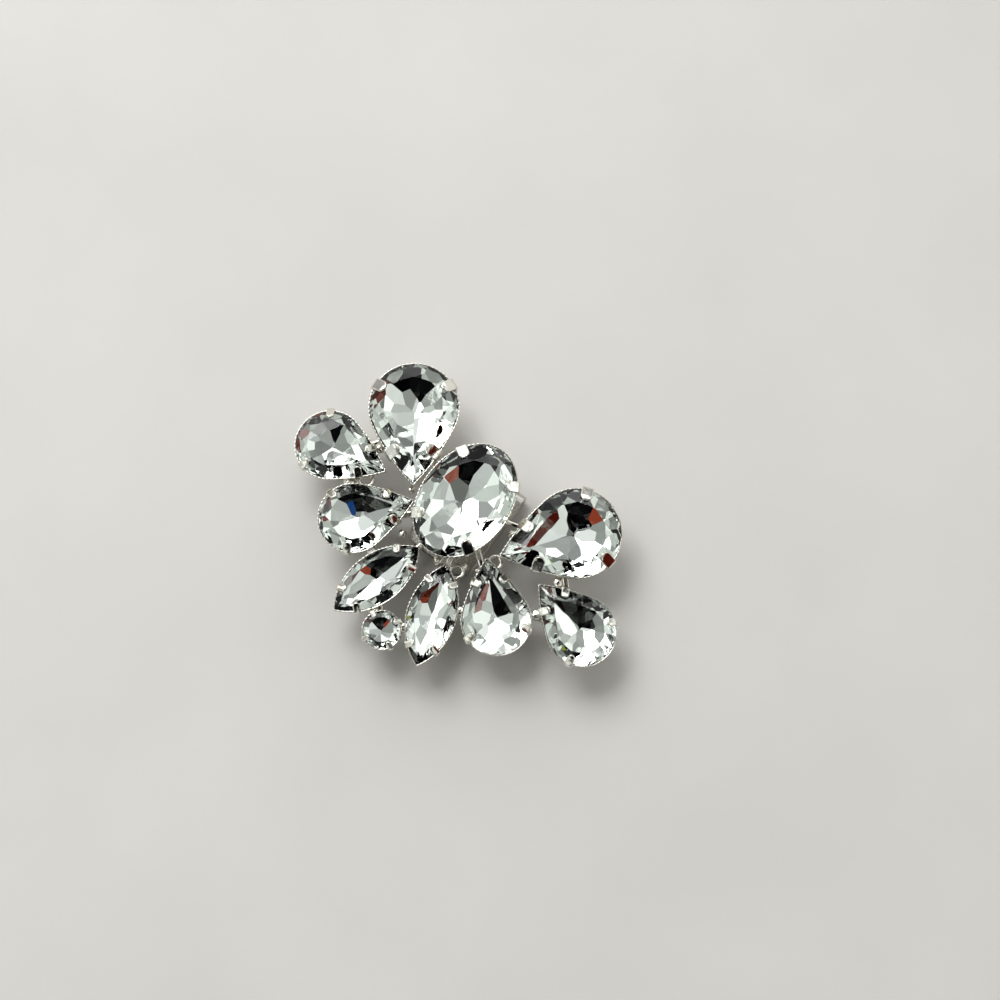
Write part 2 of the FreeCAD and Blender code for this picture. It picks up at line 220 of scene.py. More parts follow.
@dataclass(frozen=True)
class Cut:
    """Sizes and facets of one cut of stone, and of the cup that holds it, in mm.

    Args:
        outline: Outline at the girdle.
        crown: Height that the crown's slope reaches at table_share.
        girdle: Height of the girdle.
        pavilion: Depth that the cup leaves for the pavilion.
        culet: Place of the culet on Y.
        crown_count: Facets in a ring of the crown.
        back_count: Facets in a ring of the pavilion.
        inset: How much the cup narrows to its floor.
        claw_shares: Places of the claws on each side of the tip.
        claw_size: Width and length of the claws.
        table_share: Share of the outline that the crown's slope is measured at.
        flat_share: Share of the outline that the table takes.
        back_steepness: Depth of the silvered back for each mm of half the width.
    """

    outline: Outline
    crown: float
    girdle: float
    pavilion: float
    culet: float
    crown_count: int
    back_count: int
    inset: float
    claw_shares: tuple[float, float]
    claw_size: tuple[float, float]
    table_share: float = 0.62
    flat_share: float = 0.68
    back_steepness: float = 0.29

    def flat_height(self) -> float:
        """Height of the table over the girdle."""
        return self.crown * (1 - self.flat_share) / (1 - self.table_share)

    def seat_depth(self) -> float:
        """Depth of the cup's underside below the girdle's middle."""
        return self.girdle / 2 + self.pavilion + CULET_GAP + CUP_FLOOR

    def crown_tiers(self) -> tuple[Tier, ...]:
        """Mains, upper girdle facets and stars."""
        count, flat = self.crown_count, self.flat_share
        return (
            Tier(count, (0.0,), (1.0, 0.0), (flat, 1.0)),
            Tier(count, (0.25, 0.75), (1.0, 0.0), (flat + 0.14, 0.70)),
            Tier(count, (0.5,), (flat + 0.11, 0.735), (flat - 0.02, 1.0)),
        )

    def back_tiers(self) -> tuple[Tier, ...]:
        """Kites round the culet, cells between them and steeper facets up to the girdle."""
        count = self.back_count
        if self.outline.length == self.outline.width:
            return (
                Tier(count, (0.0,), (0.98, 0.04), (0.0, 1.0)),
                Tier(count, (0.5,), (0.99, 0.10), (0.0, 0.97)),
            )
        return (
            Tier(count, (0.0,), (0.34, 0.77), (0.0, 1.0)),
            Tier(count, (0.5,), (0.56, 0.54), (0.26, 0.81)),
            Tier(count, (0.0,), (0.78, 0.29), (0.46, 0.63)),
            Tier(count, (0.5,), (1.0, 0.02), (0.70, 0.36)),
            Tier(count, (0.25, 0.75), (1.0, 0.0), (0.92, 0.13)),
        )

    def back_depth(self) -> float:
        """Depth of the silvered back, so shallow that each facet mirrors one patch of the room."""
        return self.outline.width / 2 * self.back_steepness


CUTS = {
    "oval": Cut(
        Outline(OutlineKind.OVAL, length=18.0, width=13.0),
        crown=1.9,
        girdle=0.4,
        pavilion=3.5,
        culet=0.0,
        crown_count=14,
        back_count=9,
        inset=2.6,
        claw_shares=(0.118, 0.382),
        claw_size=(1.7, 2.0),
    ),
    "large": Cut(
        Outline(OutlineKind.PEAR, length=18.0, width=13.0),
        crown=1.9,
        girdle=0.4,
        pavilion=3.5,
        culet=-1.9,
        crown_count=12,
        back_count=8,
        inset=2.6,
        claw_shares=(0.118, 0.359),
        claw_size=(1.8, 2.1),
    ),
    "small": Cut(
        Outline(OutlineKind.PEAR, length=14.0, width=10.0),
        crown=1.5,
        girdle=0.4,
        pavilion=2.9,
        culet=-1.5,
        crown_count=12,
        back_count=8,
        inset=2.0,
        claw_shares=(0.104, 0.346),
        claw_size=(1.2, 1.5),
    ),
    "navette": Cut(
        Outline(OutlineKind.NAVETTE, length=15.0, width=7.0),
        crown=1.2,
        girdle=0.4,
        pavilion=2.4,
        culet=0.0,
        crown_count=10,
        back_count=7,
        inset=1.4,
        claw_shares=(0.093, 0.405),
        claw_size=(1.1, 1.3),
    ),
    "round": Cut(
        Outline(OutlineKind.OVAL, length=5.4, width=5.4),
        crown=0.9,
        girdle=0.3,
        pavilion=2.3,
        culet=0.0,
        crown_count=8,
        back_count=8,
        inset=0.8,
        claw_shares=(0.125, 0.375),
        claw_size=(0.8, 0.9),
    ),
}


@dataclass(frozen=True)
class Place:
    """Where a stone stands.

    Args:
        cut: Name of its cut.
        across: Place along X, in mm.
        along: Place along Y, in mm.
        turn: Direction of its tip from +X, in degrees.
        rise: Height over the lowest seats, in mm.
        lean: How far it leans away from the middle, in degrees.
    """

    cut: str
    across: float
    along: float
    turn: float
    rise: float
    lean: float

    def middle(self, height: float) -> Vector:
        """The stone's middle at a height."""
        return Vector((self.across, self.along, height)) - MIDDLE

    def matrix(self) -> Matrix:
        """From the stone's own frame, with its girdle at height 0, to the object's."""
        seat = BACK_HEIGHT + BAR_THICK - BAR_BITE + self.rise + CUTS[self.cut].seat_depth()
        place = self.middle(seat)
        hinge = Vector((-place.y, place.x, 0)).normalized()
        tilt = Matrix.Rotation(math.radians(self.lean), 4, hinge)
        turn = Matrix.Rotation(math.radians(self.turn - 90), 4, "Z")
        return Matrix.Translation(place) @ tilt @ turn


# Cut, across, along, turn, rise and lean
PLACES = {
    "oval_stone": Place("oval", -0.74, -0.23, 90.8, 1.6, 0.0),
    "pear_large_left": Place("large", -13.83, 4.60, -53.8, 0.0, 2.5),
    "pear_large_right": Place("large", 13.55, 3.80, 233.4, 0.0, 2.5),
    "pear_small_left": Place("small", -19.99, -4.82, 10.2, 0.0, 5.0),
    "pear_small_right": Place("small", 22.22, -4.95, 169.2, 0.0, 5.0),
    "pear_medium_left": Place("small", -11.40, -10.27, 52.3, 0.0, 2.0),
    "pear_medium_right": Place("small", 11.82, -10.05, 135.6, 0.0, 2.0),
    "navette_left": Place("navette", -4.48, -16.90, 72.9, 0.0, 2.0),
    "navette_right": Place("navette", 5.19, -16.38, 110.6, 0.0, 2.0),
    "round_stone": Place("round", 0.66, -22.50, 109.0, 0.0, 2.0),
}

# Pairs of cups that a bar on the back joins, and whether solder joins their rims too
JOINS = (
    ("oval_stone", "pear_large_left", False),
    ("oval_stone", "pear_large_right", False),
    ("oval_stone", "pear_medium_left", False),
    ("oval_stone", "pear_medium_right", False),
    ("oval_stone", "navette_left", False),
    ("oval_stone", "navette_right", False),
    ("pear_large_left", "pear_small_left", True),
    ("pear_small_left", "pear_medium_left", True),
    ("pear_large_right", "pear_small_right", True),
    ("pear_small_right", "pear_medium_right", True),
    ("pear_medium_left", "navette_left", True),
    ("pear_medium_right", "navette_right", True),
    ("navette_left", "round_stone", True),
    ("navette_right", "round_stone", True),
)


# Mesh helpers


def closed_body(mesh: bmesh.types.BMesh, segments: int, sections: Iterable[Section]) -> None:
    """Make a closed body through rings of vertices, with a cap on its first and last ring.

    Args:
        mesh: Mesh to add the body to.
        segments: Vertices in a ring.
        sections: The rings.
    """
    share = mesh.verts.layers.float.get("share") or mesh.verts.layers.float.new("share")
    ring = bmesh.ops.create_circle(mesh, cap_ends=True, radius=1.0, segments=segments)["verts"]
    for index, vert in enumerate(ring):
        vert[share] = index / segments
    edges = list({edge for vert in ring for edge in vert.link_edges})
    first, *others = sections
    for vert in ring:
        vert.co = first(vert[share])
    for section in others:
        extruded = bmesh.ops.extrude_edge_only(mesh, edges=edges)["geom"]
        ring = [item for item in extruded if isinstance(item, bmesh.types.BMVert)]
        edges = [item for item in extruded if isinstance(item, bmesh.types.BMEdge)]
        edges = [edge for edge in edges if all(vert in ring for vert in edge.verts)]
        for vert in ring:
            vert.co = section(vert[share])
    bmesh.ops.contextual_create(mesh, geom=edges)


def round_box(share: float, wide: float, thick: float, corner: float) -> Vector:
    """Point of a rectangle with round corners.

    Args:
        share: Share of the ring of BOX_POINTS points.
        wide: Width along X.
        thick: Height along Y.
        corner: Radius of the corners.
    """
    to_corner = BOX_POINTS // 4
    quarter, step = divmod(round(share * BOX_POINTS), to_corner)
    angle = math.radians(90 * quarter + 90 / (to_corner - 1) * step)
    side = 1 if quarter in (0, 3) else -1
    top = 1 if quarter in (0, 1) else -1
    centre = Vector((side * (wide / 2 - corner), top * (thick / 2 - corner), 0))
    return centre + corner * Vector((math.cos(angle), math.sin(angle), 0))


def across_line(line: list[tuple[Vector, float]], index: int) -> Vector:
    """Direction to the left of a flat line.

    Args:
        line: Places on the line, each with a width.
        index: The place to find it at.
    """
    before, after = line[max(index - 1, 0)][0], line[min(index + 1, len(line) - 1)][0]
    heading = (after - before).normalized()
    return Vector((-heading.y, heading.x))


def slice_off(mesh: bmesh.types.BMesh, point: Vector, outwards: Vector, material: int) -> None:
    """Cut a convex body flat by a plane and close the cut.

    Args:
        mesh: The body.
        point: A point of the plane.
        outwards: Direction of what is cut off.
        material: Material of the new face.
    """
    geometry = mesh.verts[:] + mesh.edges[:] + mesh.faces[:]
    made = bmesh.ops.bisect_plane(
        mesh, geom=geometry, dist=1e-5, plane_co=point, plane_no=outwards, clear_outer=True
    )
    edges = [item for item in made["geom_cut"] if isinstance(item, bmesh.types.BMEdge)]
    edges = [edge for edge in edges if edge.is_boundary]
    if len(edges) > 2:
        for face in bmesh.ops.contextual_create(mesh, geom=edges)["faces"]:
            face.material_index = material


def hand_over(
    mesh: bmesh.types.BMesh, name: str, materials: list[bpy.types.Material], smooth: bool
) -> bpy.types.Object:
    """Turn a mesh in millimetres into a finished object at the origin, in metres.

    Args:
        mesh: The mesh, which is freed.
        name: Name of the piece.
        materials: Its materials.
        smooth: Whether it is rounded metal rather than flat facets.

    Returns:
        The object.
    """
    bmesh.ops.scale(mesh, vec=(MM, MM, MM), verts=mesh.verts)
    bmesh.ops.recalc_face_normals(mesh, faces=mesh.faces)
    for face in mesh.faces:
        face.smooth = smooth
    data = bpy.data.meshes.new(name)
    mesh.to_mesh(data)
    open_edges = sum(1 for edge in mesh.edges if not edge.is_manifold)
    mesh.free()
    for material in materials:
        data.materials.append(material)
    made = bpy.data.objects.new(name, data)
    bpy.context.scene.collection.objects.link(made)
    if smooth:
        normals = made.modifiers.new("normals", "WEIGHTED_NORMAL")
        normals.keep_sharp = True
    log.info("%s: %d faces, %d open edges", name, len(data.polygons), open_edges)
    return made


def fit_in(made: bpy.types.Object, nodes: tuple[str, ...], slot: Slot) -> None:
    """Let a piece ride on the object and stand for its solids.

    Args:
        made: The piece.
        nodes: Names of the solids.
        slot: Material slot of the finish. It is not used.
    """
    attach(made, "root")
    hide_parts(*nodes)


# Finishes


def linear(code: str) -> tuple[float, float, float, float]:
    """Turn an sRGB hex value to linear.

    Args:
        code: The value, such as "#F4F4F4".
    """
    channels = []
    for start in (1, 3, 5):
        value = int(code[start : start + 2], 16) / 255
        channels.append(value / 12.92 if value <= 0.04045 else ((value + 0.055) / 1.055) ** 2.4)
    return (*channels, 1.0)


def add_node(
    tree: bpy.types.NodeTree, kind: str, settings: dict | None = None, links: dict | None = None
) -> bpy.types.Node:
    """Add a node with its settings and links.

    Args:
        tree: Tree to add it to.
        kind: The node's type.
        settings: Values of its inputs, or of its own settings.
        links: Sockets to link to its inputs.

    Returns:
        The node.
    """
    node = tree.nodes.new(kind)
    for name, value in (settings or {}).items():
        if isinstance(name, int) or name in node.inputs:
            node.inputs[name].default_value = value
        else:
            setattr(node, name, value)
    for name, socket in (links or {}).items():
        tree.links.new(socket, node.inputs[name])
    return node


def varying(
    tree: bpy.types.NodeTree, place: bpy.types.NodeSocket, size_mm: float, low: float, high: float
) -> bpy.types.NodeSocket:
    """A value that varies over a surface.

    Args:
        tree: Tree of the material.
        place: Coordinates in metres.
        size_mm: Size of the patches.
        low: Least value.
        high: Greatest value.

    Returns:
        The value's socket.
    """
    grains = add_node(tree, "ShaderNodeTexNoise", grain(size_mm), {"Vector": place})
    spread = {"From Min": 0.3, "From Max": 0.7, "To Min": low, "To Max": high}
    return add_node(tree, "ShaderNodeMapRange", spread, {"Value": grains.outputs[0]}).outputs[0]


def grain(size_mm: float) -> dict[str, float]:
    """Settings of a noise whose grains have a real size."""
    return {"Scale": 1 / (size_mm * MM), "Detail": 3.0}


@dataclass(frozen=True)
class Finish:
    """A material with fine bumps and uneven colour and roughness.

    Args:
        name: Name of the material.
        colour: Its sRGB colour.
        worn: Its colour where it is worn. It is even if this is empty.
        worn_mm: Size of the worn patches.
        rough: Least and greatest roughness.
        rough_mm: Size of the dull patches.
        bump_mm: Size of the bumps.
        bump_strength: How much they show.
        stretch: Width of the grains as a share of their length along Y.
        metallic: 1 for metal.
        ior: Index of refraction of clear glass, 0 for what isn't clear.
    """

    name: str
    colour: str
    worn: str = ""
    worn_mm: float = 1.0
    rough: tuple[float, float] = (0.0, 0.0)
    rough_mm: float = 1.0
    bump_mm: float = 1.0
    bump_strength: float = 0.0
    stretch: float = 1.0
    metallic: float = 1.0
    ior: float = 0.0

    def build(self) -> bpy.types.Material:
        """Make the material."""
        material = bpy.data.materials.new(self.name)
        material.use_nodes = True
        tree = material.node_tree
        tree.nodes.clear()
        place = add_node(tree, "ShaderNodeTexCoord").outputs["Object"]
        if self.stretch != 1.0:
            scale = {"Scale": (1.0, self.stretch, 1.0)}
            place = add_node(tree, "ShaderNodeMapping", scale, {"Vector": place}).outputs[0]
        low, high = self.rough
        colour = linear(self.colour)
        settings = {"Base Color": colour, "Roughness": low, "Metallic": self.metallic}
        links = {}
        if self.ior:
            settings |= {"IOR": self.ior, "Transmission Weight": 1.0}
        if self.worn:
            share = varying(tree, place, self.worn_mm, 0.0, 1.0)
            pair = {"data_type": "RGBA", 6: colour, 7: linear(self.worn)}
            links["Base Color"] = add_node(tree, "ShaderNodeMix", pair, {0: share}).outputs[2]
        if high > low:
            links["Roughness"] = varying(tree, place, self.rough_mm, low, high)
        if self.bump_strength:
            grains = add_node(tree, "ShaderNodeTexNoise", grain(self.bump_mm), {"Vector": place})
            size = {"Strength": self.bump_strength, "Distance": BUMP_HEIGHT}
            bump = add_node(tree, "ShaderNodeBump", size, {"Height": grains.outputs[0]})
            links["Normal"] = bump.outputs[0]
        shader = add_node(tree, "ShaderNodeBsdfPrincipled", settings, links)
        add_node(tree, "ShaderNodeOutputMaterial", links={"Surface": shader.outputs[0]})
        return material


@dataclass(frozen=True)
class PressedGlass(Finish):
    """Clear fire-polished glass: crisp facets, never quite flat, with a trace of green."""

    name: str = "pressed_clear_glass"
    colour: str = "#F6FBF8"
    bump_mm: float = 2.5
    bump_strength: float = 0.02
    metallic: float = 0.0
    ior: float = 1.5


@dataclass(frozen=True)
class SilverFoil(Finish):
    """Silvering on the back of the pavilion, which fine pits dull in specks."""

    name: str = "silvered_back"
    colour: str = "#F4F6F3"
    rough: tuple[float, float] = (0.01, 0.03)
    rough_mm: float = 0.35
    bump_mm: float = 1.8
    bump_strength: float = 0.02


@dataclass(frozen=True)
class SilverPlate(Finish):
    """Bright silver plate over stamped brass, yellowed in places.

    Tumbling leaves fine dents. They are drawn coarser than real so that they show.
    """

    name: str = "bright_silver_plate"
    colour: str = "#F0EFEA"
    worn: str = "#D9D5C9"
    worn_mm: float = 3.0
    rough: tuple[float, float] = (0.05, 0.16)
    rough_mm: float = 0.8
    bump_mm: float = 0.5
    bump_strength: float = 0.12


@dataclass(frozen=True)
class ClipSteel(Finish):
    """Nickel-plated spring strip, rolled along its length, so that fine lines run along Y."""

    name: str = "nickel_plated_spring_steel"
    colour: str = "#BDBBB5"
    rough: tuple[float, float] = (0.18, 0.36)
    rough_mm: float = 0.12
    bump_mm: float = 0.12
    bump_strength: float = 0.15
    stretch: float = 0.03


@dataclass(frozen=True)
class PaintedBoard(Finish):
    """The pale, matt board under the object."""

    name: str = "pale_painted_board"
    colour: str = "#CFCDC9"
    worn: str = "#C9C7C3"
    worn_mm: float = 40.0
    rough: tuple[float, float] = (0.6, 0.6)
    metallic: float = 0.0


# The object's sub-assemblies


@dataclass
class CutStone:
    """One stone, cut facet by facet from an upright body.

    Args:
        name: Name of the stone's solid.
        place: Where it stands.
        glass: Material of the crown and the girdle.
        foil: Material of the pavilion.
        segments: Points round the body that the stone is cut from.
        culet_share: Share of the back's depth where the culet is flat.
        steepness_error: Greatest error in a back facet's steepness, as a share.
        turn_error: Greatest error in its direction, in degrees.
    """

    name: str
    place: Place
    glass: bpy.types.Material
    foil: bpy.types.Material
    segments: int = 112
    culet_share: float = 0.985
    steepness_error: float = 0.12
    turn_error: float = 5.0

    def facet(
        self, mesh: bmesh.types.BMesh, share: float, tier: Tier, height: float, luck: random.Random
    ) -> None:
        """Cut one facet, a little out of true as pressed stones are.

        Args:
            mesh: The stone.
            share: Place of the facet on the outline.
            tier: The facet's ring.
            height: The crown's height, or the pavilion's depth as a negative number.
            luck: Source of the errors.
        """
        cut = CUTS[self.place.cut]
        belt = math.copysign(cut.girdle / 2, height)
        middle = Vector((0, cut.culet, 0))
        out = cut.outline.outwards(share)
        reach = out.dot(cut.outline.at(share) - middle)
        outer = middle + out * reach * tier.outer[0]
        outer.z = belt + height * tier.outer[1]
        climb = abs(height) * (tier.inner[1] - tier.outer[1])
        run = reach * (tier.outer[0] - tier.inner[0])
        if height < 0 and tier.outer[0] < 1:
            climb *= 1 + self.steepness_error * luck.uniform(-1, 1)
            out = Matrix.Rotation(math.radians(self.turn_error * luck.uniform(-1, 1)), 3, "Z") @ out
        normal = out * climb + Vector((0, 0, math.copysign(run, height)))
        slice_off(mesh, outer, normal.normalized(), 0 if height > 0 else 1)

    def build(self) -> bpy.types.Object:
        """Cut the stone and put it in its place."""
        cut = CUTS[self.place.cut]
        mesh = bmesh.new()
        top = cut.girdle / 2 + cut.flat_height()
        low = -cut.girdle / 2 - cut.back_depth() * self.culet_share

        def level(height: float) -> Section:
            return lambda share: cut.outline.at(share) + Vector((0, 0, height))

        luck = random.Random(self.name)
        closed_body(mesh, self.segments, [level(low), level(top)])
        sides = ((cut.crown_tiers(), cut.flat_height()), (cut.back_tiers(), -cut.back_depth()))
        for tiers, height in sides:
            for tier in tiers:
                for step in range(tier.count):
                    for turn in tier.turns:
                        self.facet(mesh, (step + turn) / tier.count, tier, height, luck)
        # The small flat under the culet is silvered too
        for face in mesh.faces:
            if face.calc_center_median().z < low + 0.001:
                face.material_index = 1
        mesh.transform(self.place.matrix())
        made = hand_over(mesh, f"{self.name}_facets", [self.glass, self.foil], smooth=False)
        fit_in(made, (self.name,), Slot.GLASS)
        return made


@dataclass
class ClawCup:
    """The stamped cup of one stone, with a milled rim and four folded claws. Sizes are in mm.

    Args:
        name: Name of the stone.
        place: Where it stands.
        plate: Material of the cup.
        rim_wall: Thickness of the rim.
        bump_mm: Length of one bump of the milling.
        bump_high: Height of the bumps.
        bump_points: Points of the outline in one bump.
        sheet: Thickness of the claws.
        claw_gap: Room between a claw and the crown.
        claw_root: How far a claw starts below the rim.
        claw_stand: Share of the rim that a claw stands out by.
        claw_share: Share of its length that a claw reaches over the crown.
        claw_bend: Share of its upright part that the fold takes.
        claw_edge: Radius of its rolled edges.
        edge_limit: The same as a share of its width and thickness, at most.
        tip_thin: Share of its thickness that is left at its tip.
        tip_fade: How soon its thickness is full again.
    """

    name: str
    place: Place
    plate: bpy.types.Material
    rim_wall: float = 0.26
    bump_mm: float = 0.62
    bump_high: float = 0.15
    bump_points: int = 4
    sheet: float = 0.36
    claw_gap: float = 0.09
    claw_root: float = 1.6
    claw_stand: float = 0.6
    claw_share: float = 0.97
    claw_bend: float = 0.55
    claw_edge: float = 0.16
    edge_limit: float = 0.45
    tip_thin: float = 0.35
    tip_fade: float = 2.2

    def bumps(self) -> int:
        """Number of bumps round the rim."""
        return round(CUTS[self.place.cut].outline.perimeter() / self.bump_mm)

    def sections(self) -> list[Section]:
        """Rings of the cup: up its outside, over the rim and down its inside."""
        cut = CUTS[self.place.cut]
        under = -cut.seat_depth()
        belt = cut.girdle / 2
        bumps = self.bumps()
        outer = STONE_GAP + self.rim_wall
        milled = self.bump_high

        def ring(grow: float, height: float, ripple: float) -> Section:
            def point(share: float) -> Vector:
                wave = ripple * (0.5 + 0.5 * math.cos(share * bumps * TURN))
                return cut.outline.at(share, grow - wave) + Vector((0, 0, height))

            return point

        def wall(part: float, ripple: float) -> Section:
            grow = -cut.inset + (outer + cut.inset) * part
            return ring(grow, under + (-belt - under) * part, ripple)

        return [
            # The floor's rounded edge and the fluted wall
            ring(-cut.inset - 0.12, under, 0.0),
            wall(0.06, 0.0),
            wall(0.35, milled),
            wall(0.82, milled),
            # A plain band below the rim
            wall(0.93, 0.0),
            wall(0.97, 0.0),
            # The milled rim, rolled over towards the stone
            ring(outer, -belt + 0.04, milled),
            ring(outer, belt - 0.12, milled),
            ring(outer - 0.04, belt - 0.03, milled),
            ring(outer - 0.10, belt, milled / 2),
            ring(STONE_GAP + 0.06, belt, 0.0),
            # The inside
            ring(STONE_GAP, belt - 0.05, 0.0),
            ring(STONE_GAP, -belt, 0.0),
            ring(-cut.inset - CUP_WALL, under + CUP_FLOOR, 0.0),
        ]

    def claw_line(self, reach: float) -> list[tuple[Vector, float]]:
        """Middle line of a claw, up the wall and over onto the crown.

        Args:
            reach: Distance of the girdle from the culet's axis at the claw.

        Returns:
            Places outwards and upwards from the girdle, and the share of the width at each.
        """
        cut = CUTS[self.place.cut]
        wide, long = cut.claw_size
        slope = math.atan2(cut.crown, (1 - cut.table_share) * reach)
        belt = cut.girdle / 2
        stand = STONE_GAP + self.rim_wall * self.claw_stand + self.sheet / 2
        draft = (STONE_GAP + CUP_WALL + cut.inset) / (cut.seat_depth() - belt)
        over = (self.claw_gap + self.sheet / 2) / math.cos(slope)
        corner = Vector((stand, belt - stand * math.tan(slope) + over))
        foot = Vector((stand, -belt))
        root = foot - Vector((self.claw_root * draft, self.claw_root))
        inwards = Vector((-math.cos(slope), math.sin(slope)))
        tip = corner + inwards * (long * self.claw_share + stand / math.cos(slope))
        bend = self.claw_bend * (corner - foot).length
        start = corner + (foot - corner).normalized() * bend
        leave = corner + (tip - corner).normalized() * bend
        places = [root, foot]
        for step in range(7):
            along = step / 6
            places.append(start.lerp(corner, along).lerp(corner.lerp(leave, along), along))
        last = places[-1]
        radius = wide / 2
        straight = (tip - last).length - radius
        direction = (tip - last).normalized()
        for step in range(1, 3):
            places.append(last + direction * straight * step / 2)
        line = [(place, 1.0) for place in places]
        # The end is a half circle, in steps that get finer towards its tip
        for angle in (15, 30, 45, 57, 68, 77, 84):
            end = math.radians(angle)
            line.append((last + direction * (straight + radius * math.sin(end)), math.cos(end)))
        return line

    def claw(self, mesh: bmesh.types.BMesh, share: float) -> None:
        """Add one claw, a flat tab with rolled edges that folds down on the crown.

        Args:
            mesh: The cup.
            share: Place of the claw on the outline.
        """
        cut = CUTS[self.place.cut]
        wide = cut.claw_size[0]
        point = cut.outline.at(share)
        out = cut.outline.outwards(share)
        side = Vector((-out.y, out.x, 0))
        line = self.claw_line(out.dot(point - Vector((0, cut.culet, 0))))

        def section(index: int) -> Section:
            middle, narrowing = line[index]
            across = -across_line(line, index)
            fade = min(1.0, narrowing * self.tip_fade)
            thick = self.sheet * (self.tip_thin + (1 - self.tip_thin) * fade)
            most = min(thick * self.edge_limit, wide * narrowing * self.edge_limit)
            edge = min(self.claw_edge, most)

            def at(where: float) -> Vector:
                flat = round_box(where, wide * narrowing, thick, edge)
                drop = middle + across * flat.y
                return point + side * flat.x + out * drop.x + Vector((0, 0, drop.y))

            return at

        closed_body(mesh, BOX_POINTS, [section(index) for index in range(len(line))])

    def build(self) -> bpy.types.Object:
        """Make the cup with its claws and put it in its place."""
        mesh = bmesh.new()
        closed_body(mesh, self.bumps() * self.bump_points, self.sections())
        for share in CUTS[self.place.cut].claw_shares:
            self.claw(mesh, share)
            self.claw(mesh, 1 - share)
        mesh.transform(self.place.matrix())
        made = hand_over(mesh, f"{self.name}_cup", [self.plate], smooth=True)
        fit_in(made, ("setting_frame",), Slot.PLATE)
        return made


